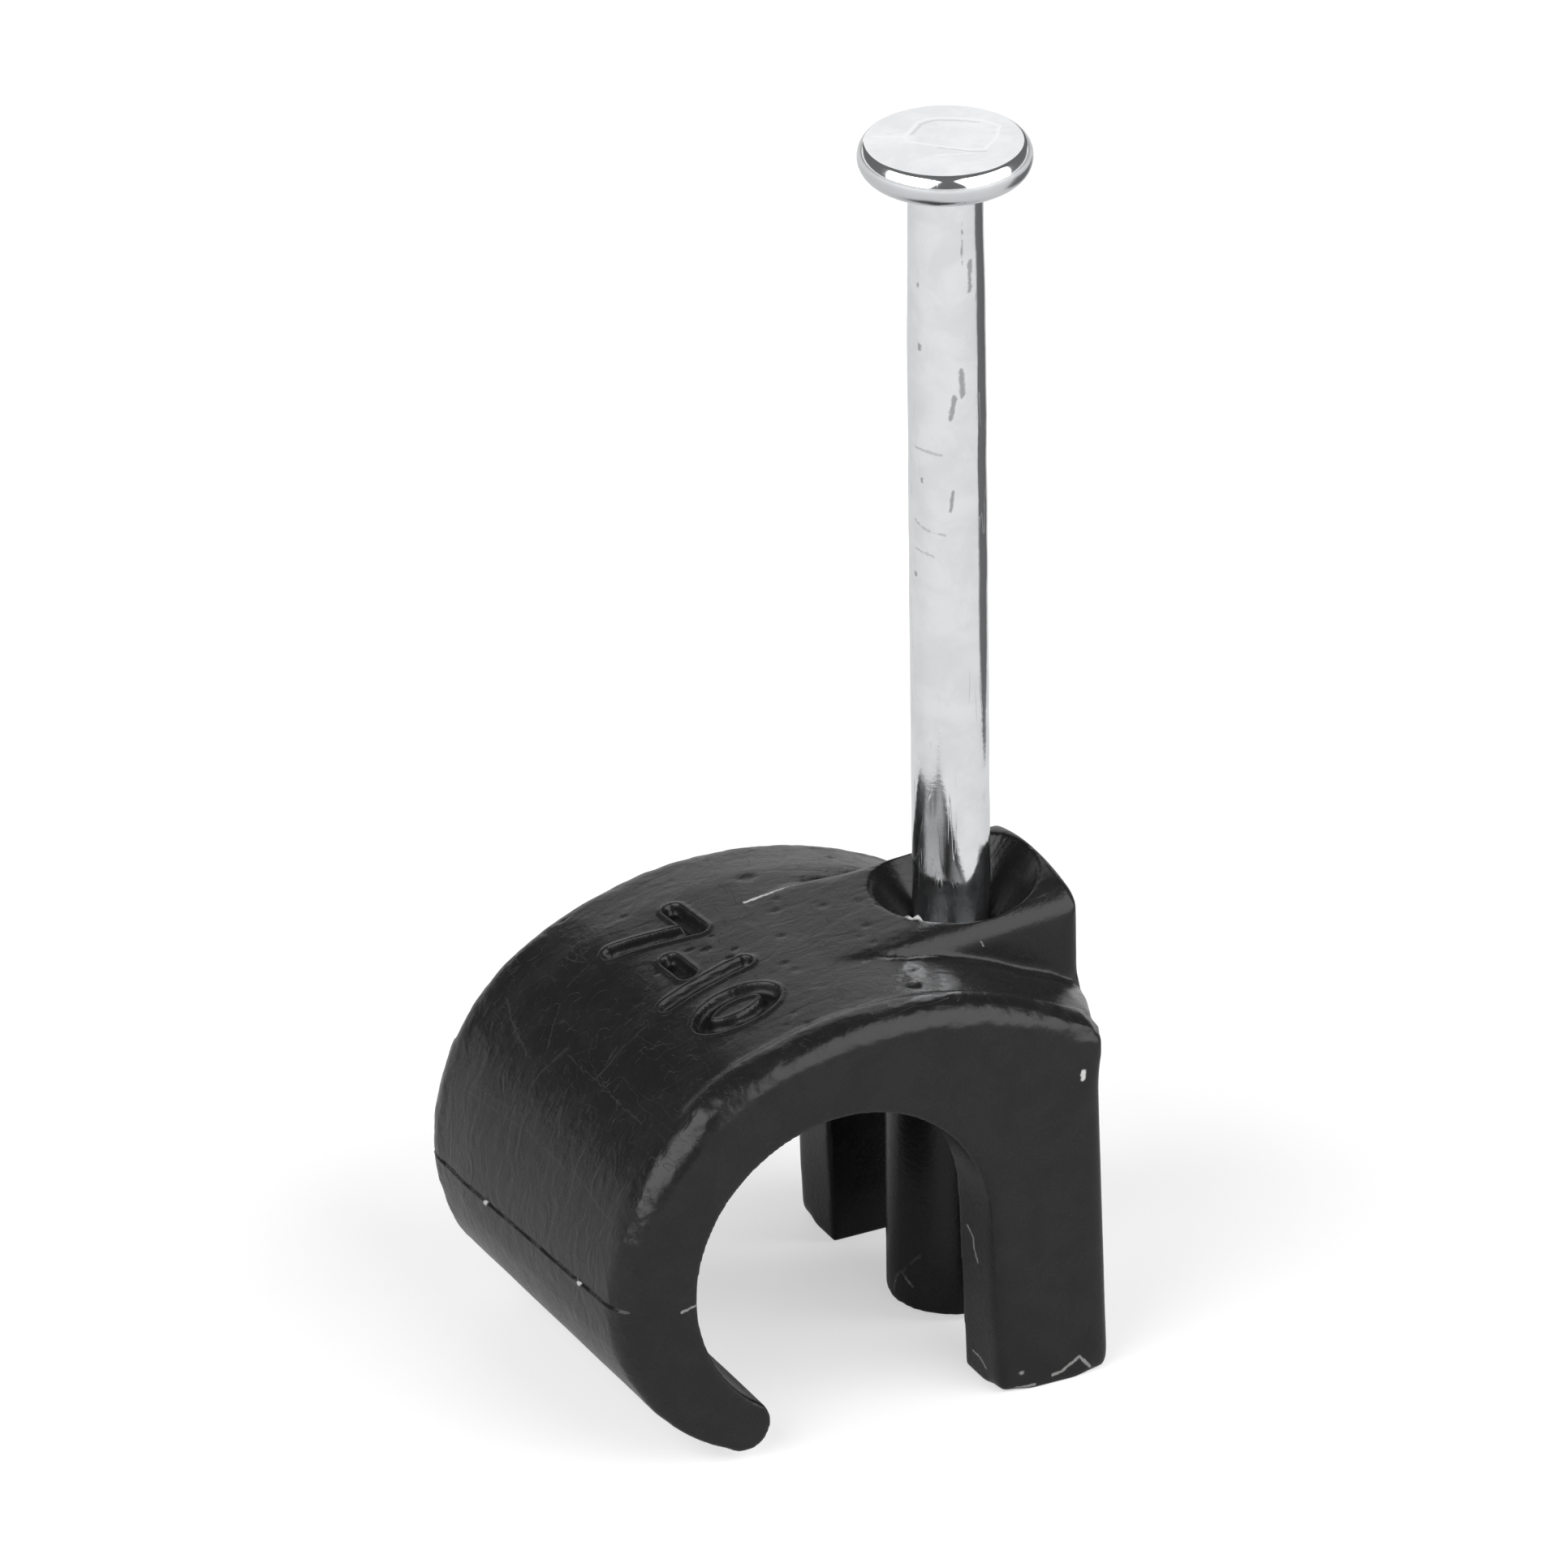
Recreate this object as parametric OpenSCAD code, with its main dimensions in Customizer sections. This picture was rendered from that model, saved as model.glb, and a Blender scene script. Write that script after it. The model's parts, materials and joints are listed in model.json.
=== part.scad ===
// Nail-in cable clip for one round cable: a moulded hook clip with the masonry nail standing in it.
// The wall plane is z = 0, the cable runs along Y, and the nail stands along Z.
// The origin is the middle of the footprint on the wall plane. All sizes are in millimetres.

/* [Cable channel] */
// Bore of the channel that holds the cable
bore_d = 8.4; // [7.4:0.1:9.4]
// Height of the channel's centre above the wall plane
bore_rise = 5.0; // [4.8:0.1:5.8]
// Length of the clip along the cable
clip_depth = 11.3; // [10:0.1:14]
// Wall of the hook round the channel
hook_wall = 2.15; // [1.8:0.05:2.8]

/* [Hook end] */
// Angle at which the hook ends, counted anticlockwise from the leg's side
tip_angle = 234; // [222:1:240]
// Radius of the hook's outside below the parting line
low_r = 4.9; // [4.7:0.05:5.4]
// Height of the mould's parting line above the channel's centre
parting_rise = 0.05; // [0:0.05:0.8]
// How far the lower half stands proud at the parting line
parting_step = 0.05; // [0.02:0.01:0.1]
// How far the rounded tip swells beyond the hook's wall on each side
tip_swell = 0.03; // [0.02:0.01:0.08]

/* [Arch] */
// Radius of the shoulder that falls from the crown to the leg
shoulder_r = 10.6; // [9:0.1:14]
// How far before the top the shoulder takes over from the hook, in degrees
shoulder_lean = 20; // [0:1:30]
// Radius of the rolled rim on the front and back edges
rim_r = 0.75; // [0.5:0.05:0.9]
// Height of the rolled rim above the arch
rim_h = 0.15; // [0.05:0.01:0.2]
// Angle at which the rolled rim runs out on the hook
rim_end = 154; // [140:1:168]

/* [Leg] */
// Thickness of the leg across the cable
leg_t = 3.0; // [2.6:0.1:3.6]
// How far the leg's cable side has drawn back where it meets the wall plane
leg_draft = 0.2; // [0:0.05:0.3]
// Length of each foot along the cable
foot_l = 2.0; // [1.5:0.1:2.6]
// Height of the gap between the feet
gap_h = 8.0; // [7.2:0.1:8.2]

/* [Nail boss] */
// Distance from the leg's cable side to the nail
nail_inset = 1.8; // [1.8:0.05:2.2]
// Outside diameter of the tube that guides the nail
tube_d = 3.5; // [3.0:0.1:3.6]
// Gap between the tube's end and the wall plane
tube_gap = 0.15; // [0:0.05:1]
// Width of the boss along the cable
boss_w = 4.7; // [4.5:0.1:5.5]
// Reach of the boss beyond the nail
boss_reach = 2.5; // [2.4:0.1:3.2]
// Rise of the boss's flat top towards the nail, in degrees
boss_rise = 4; // [2:0.5:7]
// Height of the boss's end face
boss_end_h = 3.0; // [2.6:0.1:3.3]
// Rounding of the boss's top edges
boss_round = 0.45; // [0.2:0.05:0.6]
// How far the boss's flat top lies under the line that would just touch the shoulder
boss_sink = 0.02; // [0.01:0.01:0.05]
// Diameter of the dished recess for the nail's head
dish_d = 4.4; // [3.8:0.1:4.5]
// Radius of the dish's curve
dish_r = 2.6; // [2.3:0.1:3.4]

/* [Nail] */
// Diameter of the nail's shank
nail_d = 2.0; // [1.8:0.05:2.1]
// Length of the nail under its head
nail_l = 25; // [22:0.5:30]
// Length of shank left standing above the boss
nail_out = 20; // [0:0.1:20.5]
// Length of the nail's point
point_l = 2.6; // [2:0.1:3]
// Width of the point's blunt end
point_d = 0.4; // [0.2:0.1:0.6]
// Diameter of the nail's head
head_d = 4.45; // [4:0.05:5]
// Rounding of the head's upper edge
head_top_r = 0.25; // [0.1:0.05:0.4]
// Rounding of the head's lower edge
head_low_r = 0.7; // [0.5:0.05:0.8]
// Radial gap between the shank and its hole
nail_fit = 0.02; // [0.01:0.01:0.05]

/* [Hidden] */

$fn = 96;

bore_r = bore_d / 2;
arch_r = bore_r + hook_wall;
half_depth = clip_depth / 2;

// Length of the arch between the middles of its rolled rims
arch_l = clip_depth - 2 * rim_r;

// Places across the clip, counted from the channel's centre
leg_in = bore_r;
leg_out = leg_in + leg_t;
nail_at = leg_in + nail_inset;
boss_end = nail_at + boss_reach;
low_out = arch_r + parting_step;

// The footprint's middle is the origin
bore_x = (low_out - boss_end) / 2;
nail_x = bore_x + nail_at;

// The shoulder's curve nearly touches the hook's curve from outside: it lies under it by the lap where it ends
hook_from = 90 + shoulder_lean;
hook_lap = 0.02;
lap_angle = 30;
shoulder_off = shoulder_r - arch_r + hook_lap;
shoulder_x = shoulder_off * sin(shoulder_lean);
shoulder_z = -shoulder_off * cos(shoulder_lean);

// The hook's rolled rim is drawn round a centre nearer the crown, so that it sinks into the hook past its end
rim_overlap = 6;
rim_off = rim_h / (1 - cos(rim_end + rim_overlap - hook_from));
rim_x = rim_off * cos(hook_from);
rim_z = rim_off * sin(hook_from);

// The boss's flat top leaves the shoulder where both have nearly the same slope
boss_x = shoulder_x - shoulder_r * sin(boss_rise);
boss_z = shoulder_z + shoulder_r * cos(boss_rise) - boss_sink;
boss_low = boss_line(boss_end) - boss_end_h;
boss_top = bore_rise + boss_line(nail_at);

// The hook ends in a half-round tip as thick as the hook is there
low_x = low_r - low_out;
tip_along = low_x * cos(tip_angle) + parting_rise * sin(tip_angle);
tip_reach = tip_along + sqrt(pow(low_r, 2) - pow(low_x, 2) - pow(parting_rise, 2) + pow(tip_along, 2));
tip_r = (tip_reach - bore_r) / 2 + tip_swell;
tip_mid = (tip_reach + bore_r) / 2;

hole_d = nail_d + 2 * nail_fit;
dish_up = sqrt(pow(dish_r, 2) - pow(dish_d / 2, 2));
head_t = head_top_r + head_low_r;
head_under = boss_top + nail_out;

// Longer than any part of the clip, for cutting shapes
far = 2 * (arch_r + shoulder_r);

// Height of the boss's flat top above the channel's centre, at a place across the clip
function boss_line(x) = boss_z + (x - boss_x) * tan(boss_rise);

// A flat outline drawn in X and Z round the channel's centre, carried along the cable
module along_cable(length) {
    translate([0, length / 2, bore_rise])
        rotate([90, 0, 0])
            linear_extrude(height = length)
                children();
}

// The part of the plane from one angle to another, up to half a turn apart
module sector(from, to) {
    intersection() {
        rotate(from)
            translate([-far, 0])
                square([2 * far, far]);
        rotate(to)
            translate([-far, -far])
                square([2 * far, far]);
    }
}

// Section of an arch from its axis to the rolled rims at both ends, for an arch of one radius
module rim_section(r) {
    roll_at = r + rim_h - rim_r;
    translate([0, -half_depth])
        square([roll_at, clip_depth]);
    for (side = [-1, 1])
        translate([roll_at, side * arch_l / 2])
            circle(r = rim_r);
}

// Rolled rims of an arch with the block that carries them, round the channel's centre
module rims(r) {
    translate([0, 0, bore_rise])
        rotate([90, 0, 0])
            rotate_extrude()
                rim_section(r);
}

module hook() {
    intersection() {
        translate([rim_x, 0, rim_z])
            rims(arch_r - rim_off);
        along_cable(clip_depth)
            sector(hook_from - lap_angle, rim_end + 2 * rim_overlap);
    }
    along_cable(arch_l)
        intersection() {
            circle(r = arch_r);
            sector(hook_from - lap_angle, 180);
        }
    along_cable(clip_depth) {
        intersection() {
            circle(r = arch_r);
            sector(rim_end, 180);
        }
        hook_end();
    }
}

// Outline of the hook below the parting line
module hook_end() {
    intersection() {
        translate([low_x, parting_rise])
            circle(r = low_r);
        sector(90, tip_angle);
        translate([-far, parting_rise - far])
            square([far, far]);
    }
    rotate(tip_angle)
        translate([tip_mid, 0])
            circle(r = tip_r);
}

// Outline in which the shoulder lies, between the hook and the leg's outer face
module shoulder_room() {
    intersection() {
        sector(0, hook_from);
        translate([leg_out - far, 0])
            square([far, far]);
    }
}

module shoulder() {
    intersection() {
        translate([shoulder_x, 0, shoulder_z])
            rims(shoulder_r);
        along_cable(clip_depth)
            shoulder_room();
    }
    along_cable(arch_l)
        intersection() {
            translate([shoulder_x, shoulder_z])
                circle(r = shoulder_r);
            shoulder_room();
        }
}

module leg() {
    translate([0, -half_depth, 0])
        cube([leg_out, clip_depth, bore_rise]);
}

// Room for the cable: the round channel and the straight way down to the wall
module cable_room() {
    along_cable(2 * clip_depth) {
        circle(r = bore_r);
        polygon([[0, 0], [leg_in, 0], [leg_in + leg_draft, -bore_rise],
                 [leg_in + leg_draft, -2 * bore_rise], [0, -2 * bore_rise]]);
    }
}

// Gap between the two feet, open to the channel and to the outside
module feet_gap() {
    gap_l = clip_depth - 2 * foot_l;
    translate([0, -gap_l / 2, -bore_rise])
        cube([far, gap_l, gap_h + bore_rise]);
}

// Section of the boss across the cable, with rounded edges and its top at zero
module boss_section() {
    half_w = boss_w / 2 - boss_round;
    translate([-boss_w / 2, -far])
        square([boss_w, far - boss_round]);
    translate([-half_w, -far])
        square([2 * half_w, far]);
    for (side = [-1, 1])
        translate([side * half_w, -boss_round])
            circle(r = boss_round);
}

// Side view of the boss: the rising top, the rounded end edge and the upright end face
module boss_side() {
    round_x = boss_end - boss_round;
    round_z = boss_line(round_x) - boss_round / cos(boss_rise);
    touch_x = round_x - boss_round * sin(boss_rise);
    polygon([[boss_x, boss_low], [touch_x, boss_low], [touch_x, boss_line(touch_x)], [boss_x, boss_z]]);
    translate([touch_x - boss_round, boss_low])
        square([boss_end - touch_x + boss_round, round_z - boss_low]);
    translate([round_x, round_z])
        circle(r = boss_round);
}

module boss() {
    intersection() {
        along_cable(clip_depth)
            boss_side();
        translate([boss_x, 0, bore_rise + boss_z])
            rotate([0, -boss_rise, 0])
                translate([-far / 2, 0, 0])
                    rotate([90, 0, 90])
                        linear_extrude(height = far)
                            boss_section();
    }
}

module nail_tube() {
    translate([nail_at, 0, tube_gap])
        cylinder(d = tube_d, h = boss_top - boss_end_h / 2 - tube_gap);
}

module nail_room() {
    translate([nail_at, 0, -bore_rise])
        cylinder(d = hole_d, h = boss_top + bore_rise);
    translate([nail_at, 0, boss_top + dish_up])
        sphere(r = dish_r);
}

module clip_body() {
    color("#1c1c1d")
        translate([bore_x, 0, 0])
            difference() {
                union() {
                    difference() {
                        union() {
                            hook();
                            shoulder();
                            leg();
                            boss();
                        }
                        cable_room();
                        feet_gap();
                    }
                    nail_tube();
                }
                nail_room();
            }
}

// Half section of the nail's head, with its top at zero
module head_section() {
    top_flat = head_d / 2 - head_top_r;
    low_flat = head_d / 2 - head_low_r;
    translate([0, -head_top_r])
        square([top_flat, head_top_r]);
    translate([top_flat, -head_top_r])
        circle(r = head_top_r);
    translate([0, -head_t])
        square([low_flat, head_low_r]);
    intersection() {
        translate([low_flat, -head_top_r])
            circle(r = head_low_r);
        translate([0, -head_t])
            square([head_d / 2, head_low_r]);
    }
}

module nail() {
    color("#c9ccd0")
        translate([nail_x, 0, head_under]) {
            translate([0, 0, head_t])
                rotate_extrude()
                    head_section();
            translate([0, 0, point_l - nail_l])
                cylinder(d = nail_d, h = nail_l - point_l + head_low_r);
            translate([0, 0, -nail_l])
                cylinder(d1 = point_d, d2 = nail_d, h = point_l);
        }
}

clip_body();
nail();
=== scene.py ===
import json
import math
import bmesh
import bpy
import numpy as np
from mathutils import Matrix, Vector, noise


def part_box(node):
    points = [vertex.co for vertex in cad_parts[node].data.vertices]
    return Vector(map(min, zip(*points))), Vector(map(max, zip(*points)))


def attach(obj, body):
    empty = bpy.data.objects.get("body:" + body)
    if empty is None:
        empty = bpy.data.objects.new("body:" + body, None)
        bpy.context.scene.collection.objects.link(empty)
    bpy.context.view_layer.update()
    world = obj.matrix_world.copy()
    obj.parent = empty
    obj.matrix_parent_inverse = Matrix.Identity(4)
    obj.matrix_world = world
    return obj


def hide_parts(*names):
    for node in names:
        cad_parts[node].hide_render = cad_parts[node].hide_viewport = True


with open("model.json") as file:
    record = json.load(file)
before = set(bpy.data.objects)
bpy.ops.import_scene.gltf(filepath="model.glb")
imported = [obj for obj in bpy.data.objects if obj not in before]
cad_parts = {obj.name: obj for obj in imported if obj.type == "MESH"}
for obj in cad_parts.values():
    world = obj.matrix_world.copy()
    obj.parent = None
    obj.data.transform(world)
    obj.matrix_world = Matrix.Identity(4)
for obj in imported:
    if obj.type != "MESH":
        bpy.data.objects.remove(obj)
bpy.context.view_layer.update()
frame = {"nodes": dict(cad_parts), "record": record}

# Sizes are in millimetres and angles in degrees, in the part's own frame
MM = 0.001
CHANNEL = next(m for m in frame["record"]["mounts"] if m["name"] == "cable_channel")
BORE = Vector(CHANNEL["pos_m"]) / MM
CLIP_LOW, CLIP_HIGH = (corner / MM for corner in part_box("clip_body"))
NAIL_LOW, NAIL_HIGH = (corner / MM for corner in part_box("nail"))
NAIL_X = (NAIL_LOW.x + NAIL_HIGH.x) / 2
TOP_Z = NAIL_HIGH.z
SAME_PLACE = 0.0001

# Camera of the photograph: where it stands round the bore's centre, and how far off the centre it looks
PHOTO_PIXELS = 1932
VIEW_AZIMUTH = -26.91
VIEW_ELEVATION = 27.76
VIEW_ROLL = 0.67
VIEW_DISTANCE = 666.7
PIXELS_PER_MM = 48.36
OFF_RIGHT = -1.013
OFF_UP = -9.848
SENSOR = 36.0
NEAREST_SEEN = 10.0

# The moulding's mesh: its fineness, and how often its surface and its edges are smoothed
VOXEL = 0.075
WELD = 0.001
SOFTENING = 6
EDGE_SOFTENING = 50
SMOOTH_SHARE = 0.5
CLIP_TRIANGLES = 150000

# The arch: the outside of the hook and of the shoulder, and the hook's rounded near edge
HOOK_R = 6.35
HOOK_END = 270.0
TIP_RUN_OUT = 20.0
NEAR_ROUND = 0.9
ROLL_FROM = 126.0
ROLL_RUN_IN = 8.0
SHOULDER_R = 10.6
SHOULDER_FROM = 110.0

# The far rim is sunk and droops: less so round the hook's side, and only past a place along the cable
FAR_DROOP = 0.25
FAR_ROUND = 0.8
FAR_SIDE = (112.0, 150.0)
FAR_SIDE_SHARE = 0.45
FAR_LEAST = 0.6
FAR_FROM = 2.5
FAR_FULL = 3.9

# The legs: places of their faces, the outer face's lean at its top and foot, and how deep that face reaches
LEG_X = 3.2
LEG_END = 6.15
LEG_TOP = 9.65
LEG_FLARE = (0.18, 0.42)
LEG_SKIN = (0.7, 0.05)
LEG_PROUD = 0.3

# The legs' rounder upright edges: rows of (across, reach round the edge, heights between which it ends)
LEG_EDGES = [(LEG_X, (0.6, 1.0), (3.5, 6.0)),
             (LEG_END + LEG_PROUD, (0.6, 0.9), (8.0, 9.5))]

# The boss: half its width, where it leaves the shoulder, its rounds, and the dome of its end
BOSS_HALF = 2.35
BOSS_MARGIN = 0.06
BOSS_RUN_IN = (1.5, 4.0)
BOSS_SLOPE = math.tan(math.radians(4.0))
BOSS_ROUND = 0.8
BOSS_END_ROUND = 0.35
BOSS_CORNER = 0.35
BOSS_CORNER_FROM = (9.2, 9.8)
BOSS_DOME = 0.3
DOME_RUN_IN = (5.6, 7.2)
DOME_ROOT = 1.6
DOME_SKIN = 0.4

# The dish round the nail, and how far below its top the deepening fades out
DISH_TOP = 11.93
DISH_RIM = 2.2
DISH_R = 2.6
DISH_SLOPE = math.tan(math.radians(52.0))
DISH_FADE = (1.1, 3.5)
HOLE_R = 1.02

# The mould's parting line: its height, lean and relief, the cuts that draw it, and the skin that it takes
PARTING_Z = 5.05
PARTING_TILT = 0.042
PARTING_PROUD = 0.03
PARTING_CREASE = 0.11
CREASE_STEP = 0.06
CREASE_HALF = 0.02
LEDGE_TOP = 0.01
PARTING_STEPS = (-0.03, 0.0, CREASE_STEP, 2 * CREASE_STEP)
PARTING_REACH = 1.5
PARTING_BAND = 0.5
PARTING_SKIN = 0.3
PARTING_WAVE = 0.25
PARTING_RIPPLE = 1.3
PARTING_SEED = 3.0

# The shoulder's end beside the boss: rows of (across, half its length along the cable, radius from the
# shoulder's middle), and how thick it is
EAVE = [(5.0, 5.5, 10.55), (6.15, 5.5, 10.6), (6.5, 4.64, 10.74), (7.09, 3.36, 10.8), (7.42, 2.45, 10.8)]
EAVE_H = 0.9

# The skin: how deep it counts, which way it faces, where the rims are, and waves as (height, size, seed)
SKIN_DEPTHS = (0.5, 0.25)
SKIN_HEIGHTS = (-0.45, -0.3)
END_FACING = (0.6, 0.9)
UP_FACING = (0.4, 0.7)
ARCH_SIDE = (0.0, 2.0)
ARCH_FOOT = (8.5, 9.5)
RIM_FROM = (4.3, 5.0)
SKIN_WAVE = (0.010, 1.6, 3.1)
RIM_WAVES = [(0.024, 0.55, 7.7), (0.010, 0.2, 5.3)]

# Small marks of the moulding: bumps as (place, height, width), pits as (across, along, width)
BUMPS = [(Vector((1.83, -3.91, 11.5)), 0.10, 0.28),
         (Vector((3.30, -1.30, 11.7)), 0.13, 0.16),
         (Vector((3.13, -1.12, 11.7)), 0.07, 0.14),
         (Vector((-7.39, 2.03, 4.76)), 0.05, 0.14),
         (Vector((-7.40, -3.25, 4.98)), 0.05, 0.14)]
PITS = [(0.68, 3.08, 0.22), (0.48, 1.11, 0.13), (0.02, -0.14, 0.12), (-0.55, -1.44, 0.13),
        (-1.81, 0.48, 0.13), (-2.13, 0.76, 0.10), (-1.26, -0.03, 0.10), (1.62, 0.62, 0.11),
        (2.05, -0.9, 0.12), (2.5, 0.3, 0.09)]
LOOSE_PITS = 48
LOOSE_LOW = (-5.5, -5.0)
LOOSE_HIGH = (6.0, 5.0)
LOOSE_WIDTHS = (0.06, 0.12)
PIT_SEED = 11
PIT_DEPTH = 0.25
PIT_STRETCH = 1.5
PIT_EDGE = 1.2
SPOT_FLAT = 0.2

# Nicks, swarf and flash as lines of places on the part, each with its width, and one painted highlight along
# the boss's far top edge; then pale scuffs, and faint scratches with painted highlights
BRIGHT_MARKS_AND_HIGHLIGHT = [
    ([(5.75, -5.65, 8.62), (5.77, -5.65, 8.80)], 0.10),
    ([(3.12, -1.10, 11.72), (3.30, -1.30, 11.82), (3.38, -1.36, 11.72)], 0.12),
    # painted highlight along the boss's far top edge, where it catches light; not a nick
    ([(0.02, 1.90, 11.58), (1.17, 2.06, 11.65), (2.10, 2.24, 11.71), (2.6, 2.32, 11.72)], 0.07),
    ([(-7.41, 2.0, 4.76), (-7.41, 2.08, 4.76)], 0.10),
    ([(-7.42, -3.22, 4.98), (-7.42, -3.30, 4.98)], 0.09),
]
PALE_MARKS = [
    ([(3.32, -4.15, 0.64), (3.32, -4.56, 0.62), (3.33, -4.85, 0.46)], 0.05),
    ([(3.92, -5.65, 0.55), (3.95, -5.65, 0.56)], 0.08),
    ([(3.77, -5.62, 0.12), (4.31, -5.65, 0.11)], 0.06),
    ([(4.83, -5.65, 0.26), (5.08, -5.65, 0.29), (5.60, -5.65, 0.60), (5.97, -5.65, 0.15)], 0.06),
    ([(3.18, -4.18, 4.32), (3.19, -4.47, 4.11), (3.20, -4.49, 3.81), (3.21, -4.68, 3.47)], 0.06),
    ([(-5.72, -5.65, 4.84), (-5.31, -5.65, 4.92)], 0.05),
    ([(4.38, -2.34, 11.53), (4.52, -2.35, 11.42), (4.65, -2.35, 11.14)], 0.04),
]
FAINT_MARKS_AND_HIGHLIGHTS = [
    ([(3.47, -0.93, 1.80), (3.25, -0.40, 1.15), (3.20, -0.12, 0.89), (3.20, 0.01, 0.44)], 0.07),
    ([(3.25, -0.43, 1.07), (3.36, -0.73, 0.83)], 0.06),
    # painted highlight where the boss's near side meets the shoulder
    ([(1.2, -2.35, 11.54), (2.1, -2.36, 11.46), (3.0, -2.36, 11.26), (3.9, -2.36, 10.98)], 0.07),
    ([(3.9, -2.36, 10.98), (5.3, -2.36, 10.42), (6.46, -2.36, 9.84)], 0.07),
    # painted highlight on the small bump in the valley
    ([(1.78, -3.98, 11.58), (1.88, -3.84, 11.58)], 0.15),
]
# Glossier places: the dish round the nail, and the shoulder's ends beside the boss
GLOSSY = [
    ([(4.95, 0.0, 9.5), (4.95, 0.0, 11.9)], 2.35),
    ([(6.6, -4.6, 9.8), (7.35, -2.6, 9.3)], 0.75),
    ([(6.6, 4.6, 9.8), (7.35, 2.6, 9.3)], 0.75),
]
# Scratches on the hook as lines of (distance round the channel, place along the cable)
HOOK_SCRATCHES = [
    ([(15.09, 0.74), (16.44, 1.21)], 0.05),
    ([(15.21, -1.0), (13.39, -0.98)], 0.05),
    ([(15.25, 0.54), (15.24, -1.04), (15.27, -3.57)], 0.04),
    ([(17.24, 1.17), (17.51, 0.28), (17.52, -1.56)], 0.05),
    ([(18.22, -0.15), (19.04, -0.83)], 0.04),
    ([(18.17, -3.18), (19.48, -3.78)], 0.05),
    ([(16.73, -1.36), (17.39, -1.92), (17.80, -4.46)], 0.06),
    ([(15.28, 4.07), (15.63, 3.17), (15.96, 1.95)], 0.05),
    ([(17.90, 4.30), (17.50, 0.51)], 0.04),
    ([(17.59, 3.90), (17.32, 1.10)], 0.04),
    ([(12.78, 2.58), (13.96, 2.41)], 0.04),
    ([(14.25, -0.78), (14.80, -0.89)], 0.05),
    ([(16.40, -0.35), (16.99, -0.82)], 0.05),
    ([(12.93, -0.42), (13.69, -0.35)], 0.04),
    ([(14.48, 2.08), (15.45, 1.42)], 0.04),
    ([(10.70, 3.73), (9.75, 2.88)], 0.07),
    ([(10.35, 4.10), (9.71, 3.50)], 0.07),
]

# Size numerals sunk in the hook: angles round the channel, strokes as (across, share of their height), and
# where a stroke's inside and its lip lie, from the stroke's middle line
NUMERAL_TOP = 92.5
NUMERAL_FOOT = 113.5
NUMERAL_START = 2.75
NUMERAL_MARGIN = 0.35
SEVEN = [(0.04, 0.87), (1.27, 0.91), (0.42, 0.0)]
DASH = [(2.0, 0.40), (2.87, 0.42)]
ONE = [(3.46, 0.98), (3.6, 0.0)]
ZERO_MID = (5.15, 0.515)
ZERO_HALF = (0.56, 0.42)
ZERO_POINTS = 40
STROKE_R = 0.25
STROKE_DEPTH = 0.26
STROKE_FLATNESS = 4
STROKE_WAVE = (0.1, 0.25, 9.4)
STROKE_INSIDE = (0.6 * STROKE_R, 0.95 * STROKE_R)
LIP_H = 0.04
LIP_RISE = (0.85 * STROKE_R, 1.1 * STROKE_R)
LIP_FALL = (1.2 * STROKE_R, 1.8 * STROKE_R)

# The nail, its slight wave as (height, size, seed), and how far below the head the wave stops
SHANK_R = 1.0
POINT_L = 2.6
POINT_R = 0.2
NECK_L = 5.0
NECK_THINNER = 0.04
HEAD_H = 0.95
HEAD_EDGE_R = 0.17
HEAD_TURN = 42.0
HEAD_STEPS = 14
HEAD_RINGS = 24
UNDERSIDE_RINGS = 4
NAIL_STEPS = 112
RING_GAP = 0.16
NAIL_WAVE = (0.012, 1.3, 2.7)
WAVE_STOP = 0.3

# Marks on the nail as lines of places, each with its width: dull stains and rings of the grip
NAIL_STAINS = [
    ([(4.84, -0.99, 26.86), (4.88, -1.00, 26.17)], 0.11),
    ([(4.66, -0.96, 26.13), (4.58, -0.93, 25.54)], 0.09),
    ([(4.61, -0.94, 23.45), (4.56, -0.92, 22.93)], 0.07),
    ([(5.14, -0.98, 29.84), (5.11, -0.99, 29.05)], 0.10),
    ([(4.91, -1.0, 31.02), (4.90, -1.0, 29.84)], 0.045),
    ([(3.99, -0.28, 29.19), (3.99, -0.28, 29.12)], 0.06),
    ([(4.01, -0.34, 27.50), (4.01, -0.34, 27.40)], 0.08),
    ([(4.02, -0.38, 23.73), (4.02, -0.38, 23.65)], 0.06),
    ([(3.96, -0.11, 20.98), (3.96, -0.11, 20.90)], 0.07),
]
NAIL_RINGS = [
    ([(3.96, -0.16, 24.54), (4.13, -0.58, 24.55), (4.36, -0.81, 24.49)], 0.05),
    ([(3.96, -0.13, 22.48), (4.06, -0.46, 22.33), (4.43, -0.86, 22.24)], 0.05),
    ([(3.97, -0.19, 21.68), (4.19, -0.65, 21.60)], 0.06),
]
# The die's ring on the nail's head as lines of (across, along): painted shadow inside it, and a painted
# highlight along its edge
DIE_PAINTED_SHADOW = [
    ([(4.38, 0.72), (4.84, 1.10), (5.18, 1.16), (5.68, 0.93), (6.18, 0.52)], 0.06),
    ([(4.62, -0.26), (5.20, -0.82), (5.56, -1.02)], 0.05),
]
DIE_HIGHLIGHT = [
    ([(4.18, 0.69), (4.81, 1.24), (5.18, 1.30), (5.74, 1.05), (6.31, 0.59), (6.55, 0.09), (6.16, -0.48),
      (5.58, -0.90), (5.18, -0.68), (4.57, -0.09), (4.11, 0.42), (4.18, 0.69)], 0.07),
    ([(3.46, 1.08), (4.11, 0.68)], 0.08),
    ([(4.41, -0.63), (5.26, -0.98)], 0.05),
]

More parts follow.
